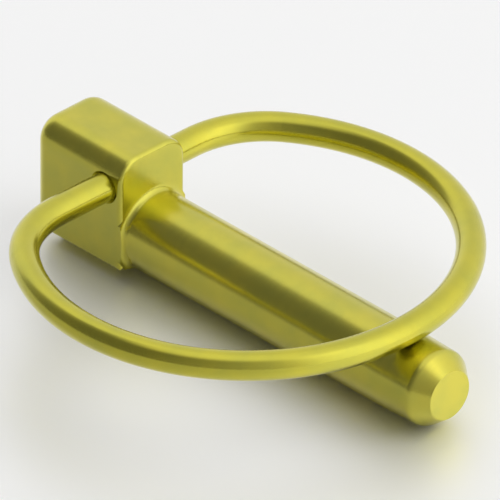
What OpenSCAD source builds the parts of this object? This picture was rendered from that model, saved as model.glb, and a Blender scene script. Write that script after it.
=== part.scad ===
// Lynch pin: a forged pin with a square-shouldered head, and a spring wire ring
// that swings in the head's cross bore and closes over the shank.
//
// +X runs along the shank from the head's shoulder to the tip, +Y along the
// cross bore, and +Z up. The origin is on the shank's axis, in the plane of the
// shoulder. All sizes are in millimetres.

/* [Shank] */
// Diameter of the shank
shank_d = 10; // [8:0.25:10.4]
// Usable length of the shank, from the shoulder to the closed ring
grip_len = 42.25; // [36:0.25:60]
// How far the tip stands out past the closed ring
tip_past = 4.3; // [3.5:0.1:10]
// Length of the chamfer on the tip
tip_chamfer_len = 2.2; // [1:0.1:3]
// Diameter of the flat end of the tip
tip_flat_d = 6.3; // [4:0.1:7.5]
// Radius of the rounded edge where the chamfer begins
tip_edge_r = 1.2; // [0.3:0.1:1.5]
// How much smaller the shank is in diameter where the chamfer begins
nose_draw = 0.3; // [0.1:0.05:0.6]
// Radius of the fillet between the shank and the shoulder
root_r = 0.8; // [0.4:0.1:1.6]
// How much smaller in radius the shank's round is behind the fillet
root_relief = 0.25; // [0.2:0.05:0.4]

/* [Head] */
// Length of the head along the shank's axis
head_len = 14.75; // [12:0.25:20]
// Width of the head along the cross bore
head_w = 10.5; // [10.5:0.1:14]
// Height of the head's top above the shank's axis
head_up = 11; // [10:0.25:16]
// Depth of the head's two lower side edges below the shank's axis
head_down = 3.75; // [3:0.05:4.5]
// Depth of the flat foot under the head below the shank's axis
foot_down = 5.2; // [5.2:0.05:7]
// Width of the flat foot under the head
foot_w = 5.2; // [3:0.1:6]
// Radius of the two long edges on top of the head
top_edge_r = 3; // [2.5:0.1:4]
// Radius of the two long edges under the head
under_edge_r = 0.5; // [0.2:0.1:1]
// Radius of the edges around the head's outer end
outer_end_r = 2; // [0.4:0.1:2.5]
// Radius of the edges around the shoulder
shoulder_edge_r = 0.6; // [0.2:0.1:1]

/* [Ring] */
// Diameter of the ring's wire
wire_d = 3.6; // [2.5:0.1:4.2]
// Length of the ring's straight stretch through the head, between the end bends
straight_len = 21.6; // [18:0.4:24]
// How far the ring is pushed sideways in the bore
side_shift = 1.9; // [0:0.1:2.5]
// Gap between the wire's two ends in the middle of the bore
end_gap = 1; // [0.4:0.1:2]
// Bevel on the wire's two ends
end_bevel = 0.3; // [0.1:0.05:0.6]

/* [Cross bore] */
// Distance of the bore's axis behind the shoulder
bore_back = 2.8; // [2.8:0.1:7]
// Running clearance all round the wire in the bore
bore_clearance = 0.05; // [0.02:0.01:0.1]
// Bevel at each mouth of the bore
mouth_bevel = 0.25; // [0.1:0.05:0.5]

/* [Hidden] */
$fn = 96;
overlap = 0.5;
// Gaps between the closed ring and the shank: along it, and above it
landing_gap = 0.15;
landing_lift = 0.05;

shank_r = shank_d / 2;
wire_r = wire_d / 2;
// Along the shank: the ring lands just past the full-diameter grip, and the tip
// follows from where the ring is.
landing_x = grip_len + landing_gap + wire_r;
shank_len = landing_x + wire_r + tip_past;
chamfer_x = shank_len - tip_chamfer_len;
nose_r = shank_r - nose_draw / 2;
// Radius of the nose under the middle of the ring's wire
nose_share = (landing_x - grip_len) / (chamfer_x - grip_len);
landing_r = shank_r - nose_share * (shank_r - nose_r);
// The closed ring lies level over the nose, so the bore is a wire radius above it.
bore_z = landing_r + landing_lift + wire_r;
bore_r = wire_r + bore_clearance;

// The shank's round ends inside the foot, at the middle of its flat.
rib_len = head_len / 2;
// The rounded edge's two tangent points and centre, as [radius, distance along].
chamfer_start = [nose_r, chamfer_x];
toward_grip = unit([shank_r, grip_len] - chamfer_start);
toward_end = unit([tip_flat_d / 2, shank_len] - chamfer_start);
edge_half = acos(toward_grip * toward_end) / 2;
edge_run = tip_edge_r / tan(edge_half);
edge_centre = chamfer_start
    + unit(toward_grip + toward_end) * tip_edge_r / sin(edge_half);

// The ring's centre line: a straight through the bore, two bends and one bow that
// is tangent to both and reaches the landing. The line from a bend's centre to the
// bow's is the long side of a 3-4-5 triangle on half of the straight, and lengths
// are rounded to a few thousandths, so the pieces of wire meet at round numbers.
ring_reach = landing_x + bore_back;
straight_half = round(straight_len / 2 * 250) / 250;
bend_r = round((ring_reach / 2 - straight_half) * 1000) / 1000;
bow_x = bend_r + straight_half * 3 / 4;
bow_r = bend_r + straight_half * 5 / 4;
// The direction in which both a bend and the bow end, from their centres
meeting = [-3, 4] / 5;

function unit(v) = v / norm(v);

// A rectangle with its own radius at each pair of corners: lower left and right,
// then upper right and left. A corner of radius 0 stays sharp.
module soft_rectangle(x0, x1, y0, y1, radii) {
    r = radii;
    polygon([
        [x0 + r[0], y0], [x1 - r[1], y0],
        [x1, y0 + r[1]], [x1, y1 - r[2]],
        [x1 - r[2], y1], [x0 + r[3], y1],
        [x0, y1 - r[3]], [x0, y0 + r[0]]
    ]);
    translate([x0 + r[0], y0 + r[0]]) circle(r[0]);
    translate([x1 - r[1], y0 + r[1]]) circle(r[1]);
    translate([x1 - r[2], y1 - r[2]]) circle(r[2]);
    translate([x0 + r[3], y1 - r[3]]) circle(r[3]);
}

// The head's cross-section, swept along the shank's axis from x0 to x1.
module head_section(x0, x1) {
    translate([x0, 0, 0])
        rotate([90, 0, 90])
            linear_extrude(x1 - x0)
                soft_rectangle(
                    -head_w / 2, head_w / 2, -head_down, head_up,
                    [under_edge_r, under_edge_r, top_edge_r, top_edge_r]
                );
}

// One of the head's two upper long edges: a round bar along the head, whose ends
// are rounded over all round it.
module top_edge_bar() {
    translate([0, head_w / 2 - top_edge_r, head_up - top_edge_r])
        rotate([90, 0, -90])
            rotate_extrude()
                intersection() {
                    soft_rectangle(
                        -top_edge_r, top_edge_r, 0, head_len,
                        [shoulder_edge_r, shoulder_edge_r, outer_end_r, outer_end_r]
                    );
                    translate([0, -overlap])
                        square([2 * top_edge_r, head_len + 2 * overlap]);
                }
}

// The head's side view, with the edges of both ends rounded, made as wide as given.
module head_side_view(width) {
    translate([0, width / 2, 0])
        rotate([90, 0, 0])
            linear_extrude(width)
                soft_rectangle(
                    -head_len, 0, -head_down, head_up,
                    [outer_end_r, shoulder_edge_r, shoulder_edge_r, outer_end_r]
                );
}

// The head as forged: the two bars, the part between them, and below them the
// head's cross-section with the edges of both ends rounded in both views.
module head_block() {
    top_edge_bar();
    mirror([0, 1, 0])
        top_edge_bar();
    head_side_view(head_w - 2 * top_edge_r);
    intersection() {
        head_section(-head_len, 0);
        head_side_view(2 * head_w);
        translate([0, 0, -2 * head_down])
            linear_extrude(2 * head_down + head_up - top_edge_r)
                soft_rectangle(
                    -head_len, 0, -head_w / 2, head_w / 2,
                    [outer_end_r, shoulder_edge_r, shoulder_edge_r, outer_end_r]
                );
    }
}

// The foot under the head: flat below, with sides and ends that flare up at 45
// degrees into the head's underside. It stays clear of the shoulder.
module foot() {
    rise = foot_down - head_down;
    front = -2 * rise;
    back = 2 * rise - head_len;
    half = foot_w / 2;
    intersection() {
        translate([-head_len, 0, 0])
            rotate([90, 0, 90])
                linear_extrude(head_len)
                    polygon([
                        [-half, -foot_down], [half, -foot_down],
                        [half + rise + overlap, overlap - head_down],
                        [-half - rise - overlap, overlap - head_down]
                    ]);
        translate([0, head_w, 0])
            rotate([90, 0, 0])
                linear_extrude(2 * head_w)
                    polygon([
                        [back, -foot_down], [front, -foot_down],
                        [front + rise + overlap, overlap - head_down],
                        [back - rise - overlap, overlap - head_down]
                    ]);
    }
}

// The shank: its round runs on inside the head, a little smaller, and shows under
// it as a rib. Full diameter along the grip, it is drawn in a little under the
// ring, then rounded over into the chamfer and the flat tip.
module shank() {
    rotate([90, 0, 90])
        rotate_extrude()
            union() {
                polygon([
                    [0, -rib_len], [shank_r - root_relief, -rib_len],
                    [shank_r - root_relief, root_r - root_relief],
                    [shank_r, root_r], [shank_r, grip_len],
                    chamfer_start + edge_run * toward_grip,
                    chamfer_start + edge_run * toward_end,
                    [tip_flat_d / 2, shank_len], [0, shank_len]
                ]);
                translate(edge_centre) circle(tip_edge_r);
            }
}

// The fillet at the shank's root, kept inside the head's cross-section.
module root_fillet() {
    intersection() {
        rotate([90, 0, 90])
            rotate_extrude()
                difference() {
                    translate([0, -overlap])
                        square([shank_r + root_r, root_r + overlap]);
                    translate([shank_r + root_r, root_r])
                        circle(root_r);
                }
        head_section(-2 * overlap, 2 * root_r);
    }
}

// The cross bore with a bevel at each mouth.
module cross_bore() {
    translate([-bore_back, 0, bore_z])
        rotate([90, 0, 0])
            union() {
                cylinder(h = 2 * head_w, r = bore_r, center = true);
                for (side = [0, 1])
                    mirror([0, 0, side])
                        translate([0, 0, head_w / 2 - mouth_bevel])
                            cylinder(
                                h = 2 * mouth_bevel,
                                r1 = bore_r, r2 = bore_r + 2 * mouth_bevel
                            );
            }
}

module pin() {
    color([0.74, 0.70, 0.30])
        difference() {
            union() {
                head_block();
                foot();
                shank();
                root_fillet();
            }
            cross_bore();
        }
}

// One straight end of the wire, from the middle of the bore out to its bend, with
// its end bevelled.
module wire_end() {
    rotate([-90, 0, 0])
        union() {
            translate([0, 0, end_gap / 2])
                cylinder(h = end_bevel, r1 = wire_r - end_bevel, r2 = wire_r);
            translate([0, 0, end_gap / 2 + end_bevel])
                cylinder(h = straight_half - end_gap / 2 - end_bevel, r = wire_r);
        }
}

// The wire bent round in a full circle of the radius r.
module wire_circle(r) {
    rotate_extrude()
        translate([r, 0])
            circle(wire_r);
}

// A wedge of the plane of the ring between two directions from a centre, reaching
// past a bend of the radius r.
module wedge(r, from, to) {
    reach = 2 * (r + wire_d);
    translate([0, 0, -wire_d])
        linear_extrude(2 * wire_d)
            polygon([[0, 0], reach * from, reach * to]);
}

// One end of the ring: its straight through half of the bore, and its bend.
module ring_end() {
    wire_end();
    translate([bend_r, straight_half, 0])
        intersection() {
            wire_circle(bend_r);
            wedge(bend_r, [-1, 0], meeting);
        }
}

module ring() {
    color([0.86, 0.82, 0.34])
        translate([-bore_back, -side_shift, bore_z])
            union() {
                ring_end();
                rotate([180, 0, 0])
                    ring_end();
                translate([bow_x, 0, 0])
                    difference() {
                        wire_circle(bow_r);
                        wedge(bow_r, meeting, [meeting[0], -meeting[1]]);
                    }
            }
}

pin();
ring();
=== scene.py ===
import math

import bpy
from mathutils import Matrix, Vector


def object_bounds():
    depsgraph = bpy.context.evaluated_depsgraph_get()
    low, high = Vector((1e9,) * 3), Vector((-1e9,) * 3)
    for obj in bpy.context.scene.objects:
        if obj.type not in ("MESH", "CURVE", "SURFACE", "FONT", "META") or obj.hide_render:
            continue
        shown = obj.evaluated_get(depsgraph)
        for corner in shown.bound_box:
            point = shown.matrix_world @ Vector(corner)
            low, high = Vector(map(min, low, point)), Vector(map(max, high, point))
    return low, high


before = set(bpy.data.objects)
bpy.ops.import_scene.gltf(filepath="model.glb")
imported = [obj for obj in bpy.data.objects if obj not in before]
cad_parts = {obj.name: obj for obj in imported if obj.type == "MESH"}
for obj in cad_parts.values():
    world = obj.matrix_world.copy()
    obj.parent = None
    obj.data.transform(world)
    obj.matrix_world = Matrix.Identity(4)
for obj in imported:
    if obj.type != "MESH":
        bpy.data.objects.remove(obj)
cad_low, cad_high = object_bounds()


# ---------------------------------------------------------------- the pin
# Drop-forged steel in one piece: a square-shouldered head and a round shank. The
# shank and its tip are machined, and then it is all plated in yellow zinc.


def shader_node(tree, kind, place, **values):
    """Adds one shader node at a place in the node editor. Values whose names are
    inputs of the node go to those sockets, and the rest are the node's settings."""
    made = tree.nodes.new(kind)
    made.location = place
    for name, value in values.items():
        socket = made.inputs.get(name.replace("_", " "))
        if socket is None:
            setattr(made, name, value)
        else:
            socket.default_value = value
    return made


def arithmetic(tree, place, operation, *terms):
    """Adds one step of arithmetic and returns its result. Each term is a number or
    the result of another node."""
    step = shader_node(tree, "ShaderNodeMath", place, operation=operation)
    for socket, term in zip(step.inputs, terms):
        if isinstance(term, (int, float)):
            socket.default_value = term
        else:
            tree.links.new(term, socket)
    return step.outputs["Value"]


def speckle(tree, place, where, scale, detail=3.0):
    """Noise between 0 and 1, read at the coordinates given."""
    noise = shader_node(
        tree, "ShaderNodeTexNoise", place, Scale=scale, Detail=detail, Roughness=0.6
    )
    tree.links.new(where, noise.inputs["Vector"])
    return noise.outputs["Fac"]


def spread(tree, place, noise, low, high):
    """Stretches the middle of a noise's range over the values from low to high."""
    stretch = shader_node(
        tree, "ShaderNodeMapRange", place,
        From_Min=0.3, From_Max=0.7, To_Min=low, To_Max=high,
    )
    tree.links.new(noise, stretch.inputs["Value"])
    return stretch.outputs["Result"]


def colour_ramp(tree, place, stops):
    """A colour ramp with one stop for each (position, colour)."""
    ramp = shader_node(tree, "ShaderNodeValToRGB", place)
    points = ramp.color_ramp.elements
    while len(points) < len(stops):
        points.new(0.5)
    for point, (position, colour) in zip(points, stops):
        point.position = position
        point.color = (*colour, 1)
    return ramp


def yellow_zinc(name, thin, thick):
    """Zinc plating under a yellow passivation film: a metal whose colour drifts
    from a greener to a warmer yellow as the film gets thicker, with a thin clear
    seal over it. Returns the material, its shader and its Object coordinates."""
    finish = bpy.data.materials.new(name)
    finish.use_nodes = True
    tree = finish.node_tree
    tree.nodes.clear()
    out = shader_node(tree, "ShaderNodeOutputMaterial", (900, 0))
    metal = shader_node(
        tree, "ShaderNodeBsdfPrincipled", (600, 0),
        Metallic=1.0, Coat_Weight=0.2, Coat_Roughness=0.15, Coat_IOR=1.5,
    )
    tree.links.new(metal.outputs["BSDF"], out.inputs["Surface"])
    where = shader_node(tree, "ShaderNodeTexCoord", (-1500, 0)).outputs["Object"]
    film = colour_ramp(tree, (-400, 300), [(0.32, thin), (0.68, thick)])
    drift = speckle(tree, (-700, 300), where, scale=170.0)
    tree.links.new(drift, film.inputs["Fac"])
    tree.links.new(film.outputs["Color"], metal.inputs["Base Color"])
    return finish, metal, where


def relief(metal, place, height, depth):
    """Raises the surface by the height given, times a depth in metres."""
    tree = metal.id_data
    bump = shader_node(tree, "ShaderNodeBump", place, Strength=1.0, Distance=depth)
    tree.links.new(height, bump.inputs["Height"])
    tree.links.new(bump.outputs["Normal"], metal.inputs["Normal"])


pin_zinc, pin_metal, pin_where = yellow_zinc(
    "pin_yellow_zinc", thin=(0.54, 0.520, 0.085), thick=(0.66, 0.590, 0.080)
)
pin_tree = pin_metal.id_data
# 0 on the forged head and 1 on the machined shank, in front of the shoulder
along = shader_node(pin_tree, "ShaderNodeSeparateXYZ", (-1200, -500))
pin_tree.links.new(pin_where, along.inputs["Vector"])
machined = shader_node(
    pin_tree, "ShaderNodeMapRange", (-900, -500), From_Min=0.0002, From_Max=0.0009
)
pin_tree.links.new(along.outputs["X"], machined.inputs["Value"])
# The die's skin on the head, and fine turning lines round the shank
skin = speckle(pin_tree, (-900, -100), pin_where, scale=1500.0, detail=4.0)
turned = shader_node(
    pin_tree, "ShaderNodeMapping", (-1200, -250), Scale=(6500, 90, 90)
)
pin_tree.links.new(pin_where, turned.inputs["Vector"])
lines = speckle(pin_tree, (-900, -300), turned.outputs["Vector"], scale=1.0)
gloss = shader_node(pin_tree, "ShaderNodeMix", (-300, -100), data_type="FLOAT")
head_gloss = spread(pin_tree, (-600, -50), skin, low=0.21, high=0.27)
shank_gloss = spread(pin_tree, (-600, -300), lines, low=0.20, high=0.26)
pin_tree.links.new(machined.outputs["Result"], gloss.inputs["Factor"])
pin_tree.links.new(head_gloss, gloss.inputs["A"])
pin_tree.links.new(shank_gloss, gloss.inputs["B"])
pin_tree.links.new(gloss.outputs["Result"], pin_metal.inputs["Roughness"])
# The head's broad unevenness of a few hundredths, which the machining takes off
waves = speckle(pin_tree, (-900, -700), pin_where, scale=300.0, detail=1.0)
uneven = arithmetic(pin_tree, (-600, -700), "MULTIPLY_ADD", skin, 0.03, waves)
left_on = arithmetic(
    pin_tree, (-600, -550), "MULTIPLY_ADD", machined.outputs["Result"], -0.85, 1.0
)
uneven = arithmetic(pin_tree, (-300, -600), "MULTIPLY", uneven, left_on)
relief(pin_metal, (0, -500), uneven, depth=0.00002)
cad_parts["pin"].material_slots[0].material = pin_zinc


# --------------------------------------------------------------- the ring
# Hard-drawn spring wire, bent round until its two ends meet inside the head's
# cross bore, then plated like the pin. It turns in the bore.

# The ring lies flat, and is alike on both sides of its middle. A bend's centre is
# given to one side of it. The bow's centre is on it.
ring_middle = -0.0019
bow_centre_x = 0.0180
bend_centre_x, bend_centre_aside = 0.0099, 0.0108
ring_zinc, ring_metal, ring_where = yellow_zinc(
    "ring_yellow_zinc", thin=(0.53, 0.505, 0.068), thick=(0.63, 0.570, 0.062)
)
ring_tree = ring_metal.id_data
# The die leaves lines that follow the wire, so they are drawn over its distance
# across: from a bend's centre line on the side of the head, and from the bow's
# centre on the other, less what makes the two agree where a bend meets the bow.
sides = shader_node(ring_tree, "ShaderNodeSeparateXYZ", (-2700, -300))
ring_tree.links.new(ring_where, sides.inputs["Vector"])
forward, across, up = sides.outputs
aside = arithmetic(ring_tree, (-2500, -400), "SUBTRACT", across, ring_middle)
aside = arithmetic(ring_tree, (-2350, -400), "ABSOLUTE", aside)
from_bow = arithmetic(ring_tree, (-2350, -200), "SUBTRACT", forward, bow_centre_x)
from_bend = arithmetic(ring_tree, (-2350, -600), "SUBTRACT", forward, bend_centre_x)
past_bend = arithmetic(ring_tree, (-2200, -700), "SUBTRACT", aside, bend_centre_aside)
past_bend = arithmetic(ring_tree, (-2050, -700), "MAXIMUM", past_bend, 0.0)


def length_of(tree, place, first, second):
    """The length of the line whose two steps at right angles are given."""
    square = arithmetic(tree, place, "MULTIPLY", first, first)
    total = arithmetic(
        tree, (place[0] + 150, place[1]), "MULTIPLY_ADD", second, second, square
    )
    return arithmetic(tree, (place[0] + 300, place[1]), "SQRT", total)


centres_apart = math.hypot(bow_centre_x - bend_centre_x, bend_centre_aside)
bow_width = length_of(ring_tree, (-2000, -200), from_bow, aside)
bow_width = arithmetic(ring_tree, (-1550, -200), "SUBTRACT", bow_width, centres_apart)
bend_width = length_of(ring_tree, (-1900, -600), from_bend, past_bend)
# The bow lies on the far side of the line through the two centres, which falls by
# 4 for each 3 that it goes back.
side = arithmetic(ring_tree, (-2000, -400), "MULTIPLY", from_bow, 4.0)
side = arithmetic(ring_tree, (-1850, -400), "MULTIPLY_ADD", aside, 3.0, side)
on_bow = arithmetic(ring_tree, (-1700, -400), "GREATER_THAN", side, 0.0)
width = shader_node(ring_tree, "ShaderNodeMix", (-1350, -400), data_type="FLOAT")
ring_tree.links.new(on_bow, width.inputs["Factor"])
ring_tree.links.new(bend_width, width.inputs["A"])
ring_tree.links.new(bow_width, width.inputs["B"])
# Fine across the wire and up it, and drawn out along it
run = arithmetic(ring_tree, (-1350, -700), "ADD", forward, aside)
drawn = shader_node(ring_tree, "ShaderNodeCombineXYZ", (-1000, -400))
for socket, distance, lines_per_metre, height in (
    ("X", width.outputs["Result"], 5200, -400), ("Y", up, 5200, -550),
    ("Z", run, 150, -700),
):
    ring_tree.links.new(
        arithmetic(
            ring_tree, (-1180, height), "MULTIPLY", distance, lines_per_metre
        ),
        drawn.inputs[socket],
    )
die_lines = speckle(ring_tree, (-800, -400), drawn.outputs["Vector"], scale=1.0)
ring_gloss = spread(ring_tree, (-500, -300), die_lines, low=0.19, high=0.26)
ring_tree.links.new(ring_gloss, ring_metal.inputs["Roughness"])
relief(ring_metal, (0, -500), die_lines, depth=0.000002)
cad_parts["ring"].material_slots[0].material = ring_zinc


# ---------------------------------------------------------------- the floor
# A pale satin sheet under the pin, wide enough to fill the view. It lies flat, and
# the pin's foot rests on it.

floor_half = 1.5
floor_z = cad_low.z
sheet = bpy.data.meshes.new("floor")
sheet.from_pydata(
    [
        (-floor_half, -floor_half, floor_z), (floor_half, -floor_half, floor_z),
        (floor_half, floor_half, floor_z), (-floor_half, floor_half, floor_z),
    ],
    [], [(0, 1, 2, 3)],
)
floor = bpy.data.objects.new("floor", sheet)
bpy.context.scene.collection.objects.link(floor)
satin = bpy.data.materials.new("pale_satin")
satin.use_nodes = True
satin_shader = satin.node_tree.nodes["Principled BSDF"]
satin_shader.inputs["Base Color"].default_value = (0.98, 0.98, 0.98, 1)
satin_shader.inputs["Metallic"].default_value = 0.7
satin_shader.inputs["Roughness"].default_value = 0.5
sheet.materials.append(satin)


# ---------------------------------------------------------------- the light
# A studio with a lit wall on the right, a paler one behind, and an unlit one on
# the left, under a pale ceiling. One large soft lamp lights the floor.

world = bpy.data.worlds.new("studio")
bpy.context.scene.world = world
world.use_nodes = True
studio = world.node_tree
link = studio.links.new
around = shader_node(studio, "ShaderNodeTexCoord", (-1200, 0))
compass = shader_node(
    studio, "ShaderNodeTexGradient", (-900, 100), gradient_type="RADIAL"
)
link(around.outputs["Generated"], compass.inputs["Vector"])
# How bright the walls are at each turn from +X towards +Y, in degrees
walls = colour_ramp(studio, (-650, 100), [
    ((180 + turn) / 360, (level, level, level)) for turn, level in (
        (-180, 0.76), (-175, 0.74), (-168, 0.30), (-150, 0.17), (-138, 0.15),
        (-95, 0.15), (-65, 0.24), (-40, 0.36), (-22, 0.53), (-8, 0.98),
        (8, 1.20), (25, 1.20), (42, 1.00), (65, 0.85), (100, 0.72), (136, 0.68),
        (166, 0.78), (180, 0.76),
    )
])
link(compass.outputs["Fac"], walls.inputs["Fac"])
split = shader_node(studio, "ShaderNodeSeparateXYZ", (-900, -200))
link(around.outputs["Generated"], split.inputs["Vector"])
ceiling = shader_node(
    studio, "ShaderNodeMapRange", (-650, -200), interpolation_type="SMOOTHSTEP",
    From_Min=0.82, From_Max=1.0,
)
link(split.outputs["Z"], ceiling.inputs["Value"])
room = shader_node(studio, "ShaderNodeMix", (-300, 0), data_type="RGBA")
# A colour Mix node has its factor at 0, its two colours at 6 and 7, and its
# result at 2.
link(ceiling.outputs["Result"], room.inputs[0])
link(walls.outputs["Color"], room.inputs[6])
room.inputs[7].default_value = (0.82, 0.82, 0.82, 1)
background = studio.nodes["Background"]
link(room.outputs[2], background.inputs["Color"])
background.inputs["Strength"].default_value = 1.25


def soft_lamp(name, direction, distance, aim, size, power):
    """A square lamp at a distance from a point in the direction given, turned
    towards the point. It lights surfaces, and isn't seen in glossy ones."""
    data = bpy.data.lights.new(name, "AREA")
    data.shape = "SQUARE"
    data.size = size
    data.energy = power
    lamp = bpy.data.objects.new(name, data)
    bpy.context.scene.collection.objects.link(lamp)
    towards = Vector(direction).normalized()
    lamp.location = Vector(aim) + towards * distance
    lamp.rotation_euler = towards.to_track_quat("Z", "Y").to_euler()
    lamp.visible_glossy = False


soft_lamp(
    "key", direction=(0.61, 0.58, 0.54), distance=0.9,
    aim=(cad_low + cad_high) / 2, size=0.6, power=4.5,
)


# --------------------------------------------------------------- the camera
# Looks down at the pin from the tip's left, with parallel lines kept parallel.

azimuth, elevation = math.radians(46.3), math.radians(32.45)
back = Vector((
    math.sin(azimuth) * math.cos(elevation),
    -math.cos(azimuth) * math.cos(elevation),
    math.sin(elevation),
))
middle_of_view = Vector((0.0112, 0.00505, 0))
camera_data = bpy.data.cameras.new("camera")
camera_data.type = "ORTHO"
camera_data.ortho_scale = 0.0585
camera_data.clip_start = 0.01
camera_data.clip_end = 5
camera = bpy.data.objects.new("camera", camera_data)
bpy.context.scene.collection.objects.link(camera)
camera.location = middle_of_view + back * 0.4
camera.rotation_euler = back.to_track_quat("Z", "Y").to_euler()
bpy.context.scene.camera = camera
bpy.context.scene.view_settings.view_transform = "Standard"
